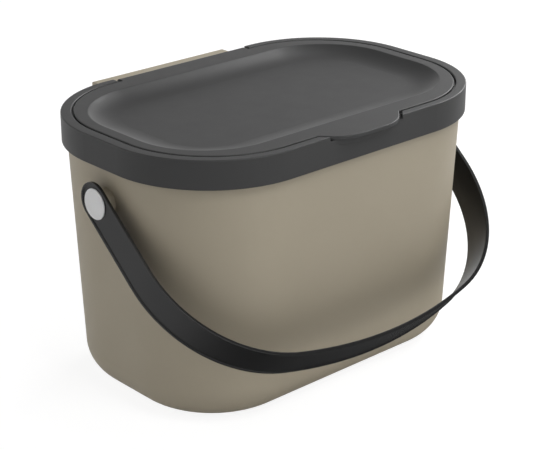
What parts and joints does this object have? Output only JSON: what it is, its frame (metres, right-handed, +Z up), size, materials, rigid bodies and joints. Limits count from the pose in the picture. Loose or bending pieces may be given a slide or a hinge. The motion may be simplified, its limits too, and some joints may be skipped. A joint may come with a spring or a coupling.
{
  "type": "waste sorting bin",
  "caption": "Small kitchen caddy for sorting waste: tapered bucket, clip-on rim frame, dished hinged lid with a finger tab, swinging bail handle and a rear hanging lip.",
  "frame": {"origin": "middle of the bucket's flat base, on the floor", "axes": "+X to the right along the long side, +Y to the back with the hinge and the hanging lip, +Z up"},
  "size_m": [0.2812, 0.232, 0.1792],
  "materials": {
    "beige_plastic": "fine moulded satin",
    "frame_plastic": "fine moulded satin",
    "lid_plastic": "fine moulded satin",
    "bail_plastic": "fine moulded satin",
    "cap_plastic": "smooth"
  },
  "bodies": {
    "bucket": {"bucket": "beige_plastic", "pivot_cap_left": "cap_plastic", "pivot_cap_right": "cap_plastic"},
    "frame": {"rim_frame": "frame_plastic", "hinge_pin_left": "frame_plastic", "hinge_pin_right": "frame_plastic"},
    "lid": {"lid": "lid_plastic"},
    "bail": {"bail_handle": "bail_plastic"}
  },
  "joints": [
    {"name": "frame_lift", "type": "slide", "parent": "bucket", "child": "frame", "axis": [0, 0, 1], "range_m": [0, 0.04]},
    {"name": "lid_hinge", "type": "hinge", "parent": "frame", "child": "lid", "pos_m": [0, 0.0865, 0.1769], "axis": [-1, 0, 0], "range_deg": [0, 105]},
    {"name": "bail_pivot", "type": "hinge", "parent": "bucket", "child": "bail", "pos_m": [0, 0.0013, 0.1388], "axis": [-1, 0, 0], "range_deg": [-8, 271]}
  ]
}
